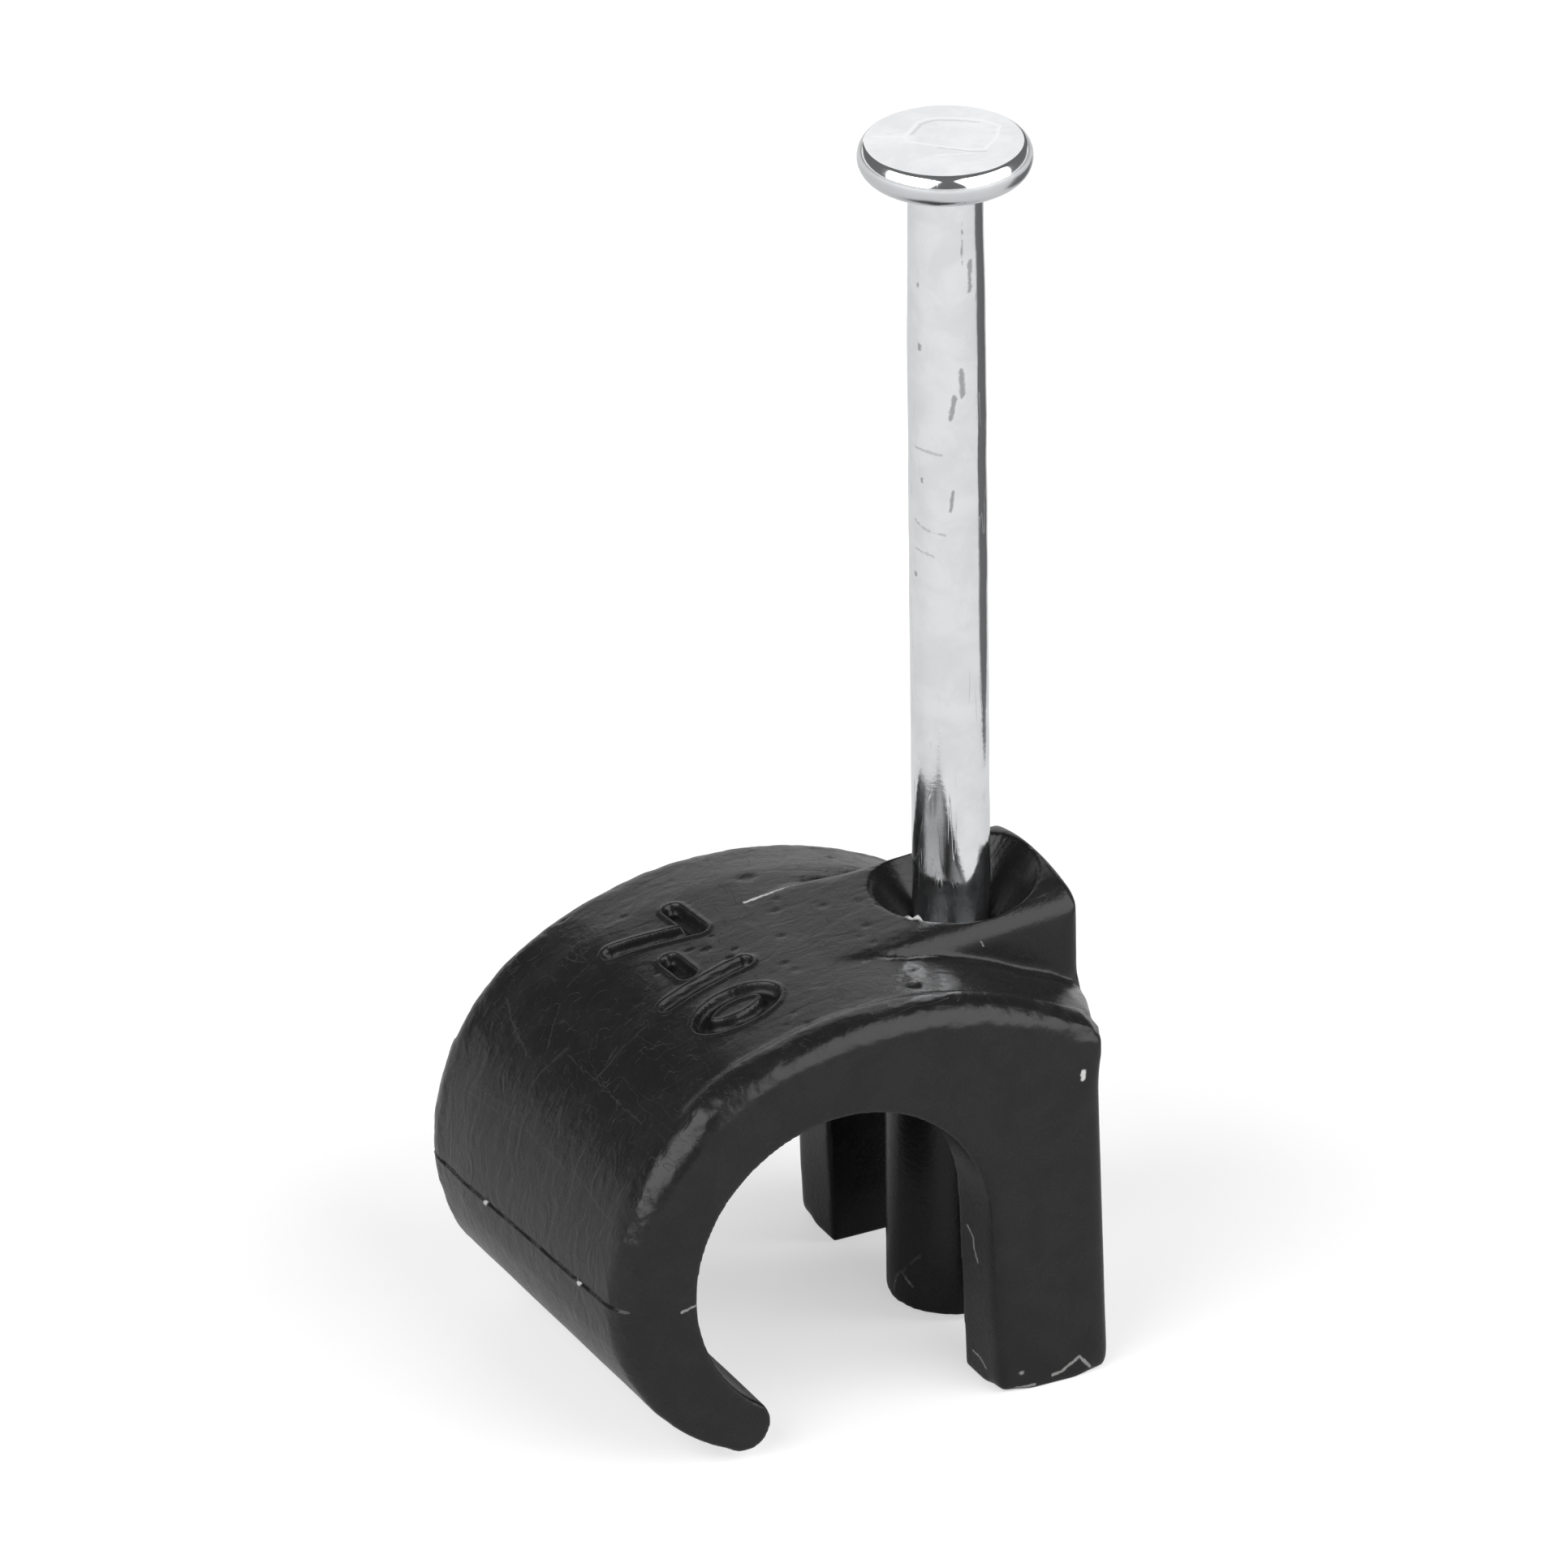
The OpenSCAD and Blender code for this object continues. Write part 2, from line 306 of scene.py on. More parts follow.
# The clip's finish: gloss from clear to blotchy places, colours, the marks' shares and depths of relief
PLASTIC_SPECULAR = 0.24
PLASTIC_ROUGHNESS = (0.235, 0.285)
COAT_ROUGHNESS = 0.17
COAT_WEIGHTS = (0.07, 0.5)
CLEAR_BLACK = (0.0082, 0.0082, 0.0086, 1)
BLOTCHY_BLACK = (0.0106, 0.0104, 0.0104, 1)
# painted shade: a darker black inside the numerals' grooves, where shade falls
GROOVE_PAINTED_SHADE = (0.004, 0.004, 0.004, 1)
WORN_GREY = (0.05, 0.05, 0.05, 1)
# the dust grey and the nick grey also paint highlights along the boss's edges and on the small bump
DUST_AND_HIGHLIGHT_GREY = (0.22, 0.22, 0.215, 1)
SCUFF_GREY = (0.18, 0.18, 0.175, 1)
NICK_AND_HIGHLIGHT_GREY = (0.42, 0.42, 0.41, 1)
WORN_SHARE = 0.2
DUST_AND_HIGHLIGHT_SHARE = 0.5
SCRATCHES_BELOW = 0.2
GROOVE_ROUGHER = 0.2
WORN_ROUGHER = 0.15
GRAIN_DEPTH = 0.010
FLOW_DEPTH = 0.03
SCRATCH_DEPTH = 0.005

# The nail's finish: the same, and where the side of its head, which is rougher and painted darker as painted
# shade, begins and ends
ZINC_ROUGHNESS = (0.13, 0.08)
CLEAR_ZINC = (0.85, 0.865, 0.885, 1)
BLOTCHY_ZINC = (0.94, 0.95, 0.965, 1)
# painted shade for the head's side and for the inside of the die's ring
ZINC_PAINTED_SHADE = (0.60, 0.61, 0.63, 1)
# painted highlight along the edge of the die's ring
ZINC_PAINTED_HIGHLIGHT = (0.99, 0.99, 0.99, 1)
STAINED_ZINC = (0.30, 0.30, 0.31, 1)
STAIN_SHARE = 0.75
RING_SHARE = 0.4
DIE_HIGHLIGHT_SHARE = 0.8
SHADE_SHARE = 0.5
SIDE_SHARE = 0.55
HEAD_LINES = 0.1
SIDE_FOOT = 0.1
SIDE_TOP = (0.45, 0.25)
LINES_ROUGHER = 0.08
SIDE_ROUGHER = 0.22
STAIN_ROUGHER = 0.2
ZINC_GRAIN_DEPTH = 0.0025
ZINC_LINE_DEPTH = 0.004

# Patterns that both finishes use: the noise's middle, the blotches' range, and the marks' full inner share
NOISE_MIDDLE = 0.5
BLOTCH_RANGE = (0.36, 0.66)
PATCH_CONTRAST = 8.0
MARK_CORE = 0.35

# The studio: the floor's own glow for rays that show it, the sky's light, and the softboxes as rows of
# (azimuth, elevation, width, height, radiance)
FLOOR_HALF = 2000.0
FLOOR_SEEN = (0.55, 0.55, 0.55, 1)
FLOOR_BOUNCE = (0.75, 0.75, 0.75, 1)
FLOOR_LIFT = 0.5
GLOSS_LIFT = 0.08
WHITE = (1, 1, 1, 1)
SKY_LOW = 1.0
SKY_HIGH = 0.14
SKY_TURN = (0.03, 0.10)
SOFTBOX_AWAY = 500.0
SOFTBOX_AIM = Vector((0, 0, 10.0))
SOFTBOXES = {
    "softbox_right": (33, 30, 640.0, 500.0, 3.4),
    "softbox_left": (-77, 32, 600.0, 400.0, 4.2),
    "softbox_back": (160, 27, 300.0, 420.0, 0.80),
}
CARD_CORNERS = [Vector((34.0, 1.0, 0.4)), Vector((39.0, -11.0, 0.4)), Vector((85.0, -27.0, 0.4)),
                Vector((85.0, 52.0, 0.4)), Vector((39.0, 22.0, 0.4))]
CARD_COLOUR = (0.09, 0.09, 0.092, 1)
CARD_ROUGHNESS = 0.9


def way_to(azimuth, elevation):
    """The way from the part to where the angles point, with azimuth 0 on its near side."""
    around = math.radians(azimuth)
    above = math.radians(elevation)
    level = math.cos(above)
    return Vector((math.sin(around) * level, -math.cos(around) * level, math.sin(above)))


def set_camera():
    """Stands the camera where the photograph was taken from."""
    azimuth = math.radians(VIEW_AZIMUTH)
    roll = math.radians(VIEW_ROLL)
    back = way_to(VIEW_AZIMUTH, VIEW_ELEVATION)
    level = Vector((math.cos(azimuth), math.sin(azimuth), 0))
    upright = back.cross(level)
    right = math.cos(roll) * level - math.sin(roll) * upright
    up = math.sin(roll) * level + math.cos(roll) * upright
    place = BORE + VIEW_DISTANCE * back - OFF_RIGHT * right - OFF_UP * up
    data = bpy.data.cameras.new("photo_camera")
    data.sensor_width = SENSOR
    data.lens = SENSOR * PIXELS_PER_MM * VIEW_DISTANCE / PHOTO_PIXELS
    data.clip_start = NEAREST_SEEN * MM
    camera = bpy.data.objects.new("photo_camera", data)
    turn = Matrix((right, up, back)).transposed().to_4x4()
    camera.matrix_world = Matrix.Translation(place * MM) @ turn
    bpy.context.scene.collection.objects.link(camera)
    bpy.context.scene.camera = camera


# Mesh helpers

def modified(mesh, kind, **settings):
    """A new mesh: the given one with one modifier applied."""
    work = bpy.data.objects.new("work", mesh)
    bpy.context.scene.collection.objects.link(work)
    modifier = work.modifiers.new(kind.lower(), kind)
    for name, value in settings.items():
        setattr(modifier, name, value)
    graph = bpy.context.evaluated_depsgraph_get()
    result = bpy.data.meshes.new_from_object(work.evaluated_get(graph))
    bpy.data.objects.remove(work)
    bpy.data.meshes.remove(mesh)
    return result


def to_mesh(bm, name):
    """A new mesh of the given name from a finished bmesh."""
    mesh = bpy.data.meshes.new(name)
    bm.to_mesh(mesh)
    bm.free()
    return mesh


def from_mesh(mesh):
    """A bmesh to edit the mesh with."""
    bm = bmesh.new()
    bm.from_mesh(mesh)
    return bm


def put_back(bm, mesh):
    """Writes an edited bmesh back into its mesh."""
    bm.to_mesh(mesh)
    bm.free()
    mesh.update()


def vectors_of(mesh, name):
    """The mesh's points, named co, or their normals, named normal, as rows of an array."""
    values = np.zeros(len(mesh.vertices) * 3)
    mesh.vertices.foreach_get(name, values)
    return values.reshape(-1, 3)


def move_points(mesh, points):
    """Gives the mesh's points new places."""
    mesh.vertices.foreach_set("co", points.astype(np.float32).ravel())
    mesh.update()


def rough(points, height, size, seed):
    """Smooth noise at each point, up to the given height, with humps of about the given size."""
    shift = Vector((seed, 2 * seed, 3 * seed))
    return height * np.array([noise.noise(Vector(p) / size + shift) for p in points])


def fade(value, start, end):
    """Goes smoothly from 0 at the start to 1 at the end."""
    t = np.clip((value - start) / (end - start), 0, 1)
    return t * t * (3 - 2 * t)


def place_piece(mesh, name, node, material):
    """Puts a finished millimetre mesh into the scene as the piece that stands for a node."""
    mesh.name = name
    mesh.transform(Matrix.Scale(MM, 4))
    mesh.shade_smooth()
    mesh.materials.clear()
    mesh.materials.append(material)
    piece = bpy.data.objects.new(name, mesh)
    bpy.context.scene.collection.objects.link(piece)
    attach(piece, "root")
    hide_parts(node)
    return piece


# Shader helpers

def wire(tree, source, target):
    """Joins two sockets."""
    tree.links.new(source, target)


def feed(tree, value, socket):
    """Wires a socket that is given as value, and sets any other value."""
    if isinstance(value, bpy.types.NodeSocket):
        wire(tree, value, socket)
    else:
        socket.default_value = value


def add_node(tree, kind, **values):
    """A shader node with its named properties and sockets set."""
    node = tree.nodes.new(kind)
    for name, value in values.items():
        if hasattr(node, name):
            setattr(node, name, value)
        else:
            feed(tree, value, node.inputs[name.replace("_", " ")])
    return node


def use_group(tree, group, **values):
    """The outputs of a node group that is placed with its named sockets set."""
    node = tree.nodes.new("ShaderNodeGroup")
    node.node_tree = group
    for name, value in values.items():
        feed(tree, value, node.inputs[name.replace("_", " ")])
    return node.outputs


def math_node(tree, operation, first, second=0.0, clamp=False):
    """The result of one operation on two values."""
    node = add_node(tree, "ShaderNodeMath", operation=operation, use_clamp=clamp)
    feed(tree, first, node.inputs[0])
    feed(tree, second, node.inputs[1])
    return node.outputs[0]


def scaled(tree, mask, share):
    """A mask made weaker, or shown only in part."""
    return math_node(tree, "MULTIPLY", mask, share)


def vector_node(tree, operation, first, second=None):
    """A vector sum, difference, scaling, length or dot product."""
    node = add_node(tree, "ShaderNodeVectorMath", operation=operation)
    wire(tree, first, node.inputs[0])
    if second is not None:
        wire(tree, second, node.inputs["Scale" if operation == "SCALE" else 1])
    return node.outputs["Value" if operation in ("DOT_PRODUCT", "LENGTH") else "Vector"]


def ramp(tree, value, low, high, to_low=0.0, to_high=1.0):
    """The value stretched from one range to another, smoothly and held at the ends."""
    node = add_node(tree, "ShaderNodeMapRange", interpolation_type="SMOOTHSTEP", Value=value,
                    From_Min=low, From_Max=high, To_Min=to_low, To_Max=to_high)
    return node.outputs["Result"]


def mix_colour(tree, mask, first, second):
    """The first colour, with the second where the mask is 1."""
    node = add_node(tree, "ShaderNodeMix", data_type="RGBA")
    colours = [socket for socket in node.inputs if socket.type == "RGBA"]
    feed(tree, mask, node.inputs[0])
    feed(tree, first, colours[0])
    feed(tree, second, colours[1])
    return next(socket for socket in node.outputs if socket.type == "RGBA")


def rougher(tree, gloss, mask, share):
    """A roughness with a share of the mask added."""
    return math_node(tree, "ADD", gloss, scaled(tree, mask, share))


def bump(tree, height, depth, before=None):
    """Relief of the given depth in millimetres."""
    node = add_node(tree, "ShaderNodeBump", Height=height, Distance=depth * MM, Strength=1.0)
    if before is not None:
        wire(tree, before, node.inputs["Normal"])
    return node.outputs["Normal"]


def sunk_lines(tree, mask, depth, before):
    """Relief that is sunk where the mask is 1."""
    return bump(tree, math_node(tree, "SUBTRACT", 1.0, mask), depth, before)


def shaken(tree, place, scale, reach):
    """Places pushed about by fine noise, so that marks drawn on them have ragged edges."""
    cloud = add_node(tree, "ShaderNodeTexNoise", Vector=place, Scale=scale, Detail=3.0, Roughness=0.6)
    pushed = add_node(tree, "ShaderNodeVectorMath", operation="MULTIPLY_ADD")
    wire(tree, cloud.outputs["Color"], pushed.inputs[0])
    pushed.inputs[1].default_value = (2 * reach,) * 3
    wire(tree, place, pushed.inputs[2])
    centred = add_node(tree, "ShaderNodeVectorMath", operation="SUBTRACT")
    wire(tree, pushed.outputs["Vector"], centred.inputs[0])
    centred.inputs[1].default_value = (reach,) * 3
    return centred.outputs["Vector"]


def in_mm(tree, place, turn=(0, 0, 0), stretch=(1, 1, 1)):
    """Object coordinates in millimetres, turned and stretched for a pattern."""
    mapping = add_node(tree, "ShaderNodeMapping", Vector=place, Rotation=turn,
                       Scale=tuple(s / MM for s in stretch))
    return mapping.outputs["Vector"]


def attribute(tree, name):
    """A value that the mesh holds at each point."""
    return add_node(tree, "ShaderNodeAttribute", attribute_name=name).outputs["Fac"]


def new_material(name):
    """A material with its node tree, its shader and its Object coordinates."""
    material = bpy.data.materials.new(name)
    material.use_nodes = True
    tree = material.node_tree
    place = tree.nodes.new("ShaderNodeTexCoord")
    return material, tree, tree.nodes["Principled BSDF"], place.outputs["Object"]


# Node groups that both finishes use

def new_group(name, inputs, outputs):
    """An empty node group with its inside ends."""
    tree = bpy.data.node_groups.new(name, "ShaderNodeTree")
    for socket, kind, value in inputs:
        made = tree.interface.new_socket(socket, in_out="INPUT", socket_type=kind)
        if value is not None:
            made.default_value = value
    for socket in outputs:
        tree.interface.new_socket(socket, in_out="OUTPUT", socket_type="NodeSocketFloat")
    start = tree.nodes.new("NodeGroupInput")
    end = tree.nodes.new("NodeGroupOutput")
    return tree, start.outputs, end.inputs


def grain_group():
    """Fine skin of a surface, with broad soft blotches beneath it."""
    tree, given, result = new_group(
        "surface_grain",
        [("Vector", "NodeSocketVector", None),
         ("Fine Scale", "NodeSocketFloat", 12.0),
         ("Blotch Scale", "NodeSocketFloat", 1.2)],
        ["Height", "Blotch"])
    fine = add_node(tree, "ShaderNodeTexNoise", Vector=given["Vector"], Scale=given["Fine Scale"],
                    Detail=4.0, Roughness=0.6)
    broad = add_node(tree, "ShaderNodeTexNoise", Vector=given["Vector"], Scale=given["Blotch Scale"],
                     Detail=5.0, Roughness=0.62, Distortion=0.4)
    wire(tree, fine.outputs["Fac"], result["Height"])
    wire(tree, ramp(tree, broad.outputs["Fac"], *BLOTCH_RANGE), result["Blotch"])
    return tree


def scratch_group():
    """Long thin scratches that come and go along one direction."""
    tree, given, result = new_group(
        "fine_scratches",
        [("Vector", "NodeSocketVector", None),
         ("Scale", "NodeSocketFloat", 2.0),
         ("Width", "NodeSocketFloat", 0.012),
         ("Cover", "NodeSocketFloat", 0.5)],
        ["Mask"])
    lines = add_node(tree, "ShaderNodeTexNoise", Vector=given["Vector"], Scale=given["Scale"],
                     Detail=1.0, Roughness=0.4)
    off = math_node(tree, "ABSOLUTE", math_node(tree, "SUBTRACT", lines.outputs["Fac"], NOISE_MIDDLE))
    thin = math_node(tree, "SUBTRACT", 1.0, math_node(tree, "DIVIDE", off, given["Width"]), clamp=True)
    patches = add_node(tree, "ShaderNodeTexNoise", Vector=given["Vector"], Scale=1.7, Detail=2.0)
    shown = math_node(tree, "SUBTRACT", patches.outputs["Fac"], given["Cover"])
    shown = math_node(tree, "MULTIPLY", shown, PATCH_CONTRAST, clamp=True)
    wire(tree, scaled(tree, thin, shown), result["Mask"])
    return tree


def mark_group():
    """A mark along a straight line: 1 on the line, and 0 beyond the given width from it."""
    tree, given, result = new_group(
        "line_mark",
        [("Vector", "NodeSocketVector", None),
         ("From", "NodeSocketVector", None),
         ("To", "NodeSocketVector", None),
         ("Width", "NodeSocketFloat", 0.05)],
        ["Mask"])
    reach = vector_node(tree, "SUBTRACT", given["Vector"], given["From"])
    run = vector_node(tree, "SUBTRACT", given["To"], given["From"])
    share = math_node(tree, "DIVIDE", vector_node(tree, "DOT_PRODUCT", reach, run),
                      vector_node(tree, "DOT_PRODUCT", run, run), clamp=True)
    gap = vector_node(tree, "SUBTRACT", reach, vector_node(tree, "SCALE", run, share))
    away = math_node(tree, "DIVIDE", vector_node(tree, "LENGTH", gap), given["Width"])
    wire(tree, ramp(tree, away, MARK_CORE, 1.0, 1.0, 0.0), result["Mask"])
    return tree


def marks(tree, line_mark, place, rows):
    """The strongest of a number of line marks, each a row of places with a width."""
    mask = None
    for row, width in rows:
        for start, end in zip(row, row[1:]):
            ends = {"From": Vector(start).to_3d(), "To": Vector(end).to_3d()}
            one = use_group(tree, line_mark, Vector=place, Width=width, **ends)["Mask"]
            mask = one if mask is None else math_node(tree, "MAXIMUM", mask, one)
    return mask


# Finish of the clip

def hair_scratches(tree, scratches, place, outer):
    """Hair scratches in two directions, fewer away from the outer skin."""
    across = in_mm(tree, place, turn=(0.3, 0.5, 0.6), stretch=(0.35, 1.6, 1.6))
    hairs = use_group(tree, scratches, Vector=across, Scale=1.6, Width=0.006, Cover=0.44)["Mask"]
    along = in_mm(tree, place, turn=(0.2, -0.6, -0.3), stretch=(1.5, 0.3, 1.5))
    threads = use_group(tree, scratches, Vector=along, Scale=2.4, Width=0.006, Cover=0.48)["Mask"]
    shown = ramp(tree, outer, 0.0, 1.0, SCRATCHES_BELOW, 1.0)
    return scaled(tree, math_node(tree, "MAXIMUM", hairs, threads), shown)


def flow_streaks(tree, flat, outer):
    """Soft streaks that the flowing plastic left on the outer skin, about zero."""
    leaning = add_node(tree, "ShaderNodeMapping", Vector=flat, Rotation=(0, 0, 0.5), Scale=(1.0, 1.7, 1.0))
    streaks = add_node(tree, "ShaderNodeTexNoise", Vector=leaning.outputs["Vector"], Scale=1.0,
                       Detail=2.0, Roughness=0.5, Distortion=1.2)
    centred = math_node(tree, "SUBTRACT", streaks.outputs["Fac"], NOISE_MIDDLE)
    return scaled(tree, centred, outer)


def plastic_colour(tree, line_mark, place, blotch, groove, worn):
    """Black, greyer where it is worn, with painted shade in the numerals' grooves, pale and faint marks,
    bright nicks, and painted highlights along the boss's edges and on a small bump.
    """
    ragged = shaken(tree, place, scale=9.0, reach=0.05)
    # faint scratches, and painted highlights along the boss's near side and on the small bump
    dust_and_highlight = scaled(tree, marks(tree, line_mark, ragged, FAINT_MARKS_AND_HIGHLIGHTS), blotch)
    black = mix_colour(tree, blotch, CLEAR_BLACK, BLOTCHY_BLACK)
    # painted shade inside the numerals' grooves
    black = mix_colour(tree, groove, black, GROOVE_PAINTED_SHADE)
    grey = mix_colour(tree, scaled(tree, worn, WORN_SHARE), black, WORN_GREY)
    dusty_and_highlighted = mix_colour(tree, scaled(tree, dust_and_highlight, DUST_AND_HIGHLIGHT_SHARE), grey, DUST_AND_HIGHLIGHT_GREY)
    scuffed = mix_colour(tree, marks(tree, line_mark, ragged, PALE_MARKS), dusty_and_highlighted, SCUFF_GREY)
    # bright nicks and flash, and a painted highlight along the boss's far top edge
    return mix_colour(tree, marks(tree, line_mark, ragged, BRIGHT_MARKS_AND_HIGHLIGHT), scuffed, NICK_AND_HIGHLIGHT_GREY)


def clip_plastic(grain, scratches, line_mark):
    """Satin black moulded plastic with a fine skin, flow streaks, scratches and pale scuffs, painted shade
    in the numerals' grooves and painted highlights along the boss's edges and on a small bump.
    """
    material, tree, shader, place = new_material("clip_plastic")
    shader.inputs["Specular IOR Level"].default_value = PLASTIC_SPECULAR
    shader.inputs["Coat Roughness"].default_value = COAT_ROUGHNESS
    plain = in_mm(tree, place)
    flat = add_node(tree, "ShaderNodeUVMap", uv_map="unrolled").outputs["UV"]
    outer = attribute(tree, "skin")
    groove = attribute(tree, "groove")
    skin = use_group(tree, grain, Vector=plain, Fine_Scale=7.0, Blotch_Scale=0.9)
    hairs = hair_scratches(tree, scratches, place, outer)
    cuts = marks(tree, line_mark, shaken(tree, flat, scale=2.2, reach=0.12), HOOK_SCRATCHES)
    worn = math_node(tree, "MAXIMUM", hairs, cuts)
    colour = plastic_colour(tree, line_mark, plain, skin["Blotch"], groove, worn)
    wire(tree, colour, shader.inputs["Base Color"])
    gloss = ramp(tree, skin["Blotch"], 0.0, 1.0, *PLASTIC_ROUGHNESS)
    gloss = rougher(tree, gloss, groove, GROOVE_ROUGHER)
    wire(tree, rougher(tree, gloss, worn, WORN_ROUGHER), shader.inputs["Roughness"])
    glossy = marks(tree, line_mark, plain, GLOSSY)
    wire(tree, ramp(tree, glossy, 0.0, 1.0, *COAT_WEIGHTS), shader.inputs["Coat Weight"])
    normal = bump(tree, skin["Height"], GRAIN_DEPTH)
    normal = bump(tree, flow_streaks(tree, flat, outer), FLOW_DEPTH, normal)
    wire(tree, sunk_lines(tree, hairs, SCRATCH_DEPTH, normal), shader.inputs["Normal"])
    return material


# Finish of the nail

def on_head(rows):
    """Lines of (across, along) lifted to the top of the nail's head."""
    return [([(across, along, TOP_Z) for across, along in row], width) for row, width in rows]


def head_side_shade_and_dullness(tree, height):
    """The side of the nail's head below its top edge: a mask for painted shade in its colour and for added
    roughness.
    """
    under = TOP_Z - HEAD_H
    low, high = (TOP_Z - below for below in SIDE_TOP)
    rising = ramp(tree, height, under - SIDE_FOOT, under)
    return scaled(tree, rising, ramp(tree, height, low, high, SIDE_SHARE, 0.0))


def zinc_colour(tree, line_mark, place, blotch, side, dull):
    """Pale zinc with painted shade on the head's side, the die's ring as a painted highlight with painted
    shadow inside it, and stains.
    """
    loose = shaken(tree, place, scale=2.0, reach=0.06)
    # painted highlight along the die ring's edge, and painted shadow inside it
    die_highlight = scaled(tree, marks(tree, line_mark, loose, on_head(DIE_HIGHLIGHT)), DIE_HIGHLIGHT_SHARE)
    die_shadow = scaled(tree, marks(tree, line_mark, loose, on_head(DIE_PAINTED_SHADOW)), SHADE_SHARE)
    bright = mix_colour(tree, blotch, CLEAR_ZINC, BLOTCHY_ZINC)
    # painted shade: the head's side and the die ring's inside are darkened
    bright = mix_colour(tree, math_node(tree, "MAXIMUM", die_shadow, side), bright, ZINC_PAINTED_SHADE)
    highlighted = mix_colour(tree, die_highlight, bright, ZINC_PAINTED_HIGHLIGHT)
    return mix_colour(tree, dull, highlighted, STAINED_ZINC)


def nail_zinc(grain, scratches, line_mark):
    """Bright zinc plating with cloudy patches, drawing lines, dull stains, the die's ring as a painted
    highlight with painted shadow inside it, and painted shade on the head's side.
    """
    material, tree, shader, place = new_material("nail_zinc")
    shader.inputs["Metallic"].default_value = 1.0
    plain = in_mm(tree, place)
    height = add_node(tree, "ShaderNodeSeparateXYZ", Vector=plain).outputs["Z"]
    skin = use_group(tree, grain, Vector=plain, Fine_Scale=7.0, Blotch_Scale=0.8)
    shank = ramp(tree, height, TOP_Z - HEAD_H, TOP_Z - HEAD_H / 2, 1.0, HEAD_LINES)
    drawn = in_mm(tree, place, stretch=(3.0, 3.0, 0.25))
    lines = use_group(tree, scratches, Vector=drawn, Scale=1.5, Width=0.02, Cover=0.5)["Mask"]
    lines = scaled(tree, lines, shank)
    ragged = shaken(tree, plain, scale=7.0, reach=0.07)
    stains = scaled(tree, marks(tree, line_mark, ragged, NAIL_STAINS), STAIN_SHARE)
    rings = scaled(tree, marks(tree, line_mark, ragged, NAIL_RINGS), RING_SHARE)
    dull = math_node(tree, "MAXIMUM", stains, rings)
    # the head's side: painted shade in its colour, and added roughness
    side = head_side_shade_and_dullness(tree, height)
    colour = zinc_colour(tree, line_mark, plain, skin["Blotch"], side, dull)
    wire(tree, colour, shader.inputs["Base Color"])
    gloss = ramp(tree, skin["Blotch"], 0.0, 1.0, *ZINC_ROUGHNESS)
    gloss = rougher(tree, gloss, lines, LINES_ROUGHER)
    gloss = rougher(tree, gloss, side, SIDE_ROUGHER)
    wire(tree, rougher(tree, gloss, dull, STAIN_ROUGHER), shader.inputs["Roughness"])
    normal = bump(tree, scaled(tree, skin["Height"], shank), ZINC_GRAIN_DEPTH)
    wire(tree, sunk_lines(tree, lines, ZINC_LINE_DEPTH, normal), shader.inputs["Normal"])
    return material


# Places on the moulding

def hook_places(points):
    """Each point's distance round the hook, and its distance from the bore's axis."""
    across = points[:, 0] - BORE.x
    rise = points[:, 2] - BORE.z
    return np.mod(np.arctan2(rise, across), math.tau) * HOOK_R, np.hypot(across, rise)


def hook_angle(points):
    """Each point's angle round the bore."""
    return np.degrees(hook_places(points)[0] / HOOK_R)


def shoulder_middle():
    """The middle of the shoulder's arc, as (across, height)."""
    lean = math.radians(SHOULDER_FROM)
    step = SHOULDER_R - HOOK_R
    return BORE.x - step * math.cos(lean), BORE.z - step * math.sin(lean)


def above_skin(points):
    """How far each point lies outside the arch's plain skin, and the way out from it."""
    from_bore = points[:, [0, 2]] - np.array((BORE.x, BORE.z))
    from_shoulder = points[:, [0, 2]] - np.array(shoulder_middle())
    angle = hook_angle(points)
    on_hook = (angle > SHOULDER_FROM) & (angle < HOOK_END)
    out = np.where(on_hook[:, None], from_bore, from_shoulder)
    radius = np.linalg.norm(out, axis=1)
    height = radius - np.where(on_hook, HOOK_R, SHOULDER_R)
    return height, out / radius[:, None]


def numeral_strokes():
    """The numerals' strokes as rows of points, each (distance round the hook, place along the cable)."""
    tall = math.radians(NUMERAL_FOOT - NUMERAL_TOP) * HOOK_R
    foot = math.radians(NUMERAL_FOOT) * HOOK_R
    turns = [math.tau * i / ZERO_POINTS for i in range(ZERO_POINTS + 1)]
    (mid_across, mid_up), (half_across, half_up) = ZERO_MID, ZERO_HALF
    zero = [(mid_across + half_across * math.cos(t), mid_up + half_up * math.sin(t)) for t in turns]
    strokes = []
    for stroke in (SEVEN, DASH, ONE, zero):
        strokes.append([(foot - up * tall, NUMERAL_START - across) for across, up in stroke])
    return strokes


def stroke_distance(round_hook, along):
    """Distance from each place on the hook to the nearest stroke."""
    best = np.full(len(along), math.inf)
    for stroke in numeral_strokes():
        for (a, b), (c, d) in zip(stroke, stroke[1:]):
            run = np.array((c - a, d - b))
            t = ((round_hook - a) * run[0] + (along - b) * run[1]) / (run @ run)
            t = np.clip(t, 0, 1)
            best = np.minimum(best, np.hypot(round_hook - a - t * run[0], along - b - t * run[1]))
    return best


def boss_top(points):
    """Height of the boss's sloping top over each point."""
    return CLIP_HIGH.z + (points[:, 0] - CLIP_HIGH.x + BOSS_END_ROUND / 2) * BOSS_SLOPE


# Larger forms of the moulding

def add_eave(bm):
    """Carries the shoulder on past the leg, further out the nearer it is to the boss."""
    middle_x, middle_z = shoulder_middle()
    verts = []
    for across, half, radius in EAVE:
        top = middle_z + math.sqrt(radius ** 2 - (across - middle_x) ** 2)
        for along in (-half, half):
            verts += [bm.verts.new((across, along, z)) for z in (top, top - EAVE_H)]
    bmesh.ops.convex_hull(bm, input=verts)


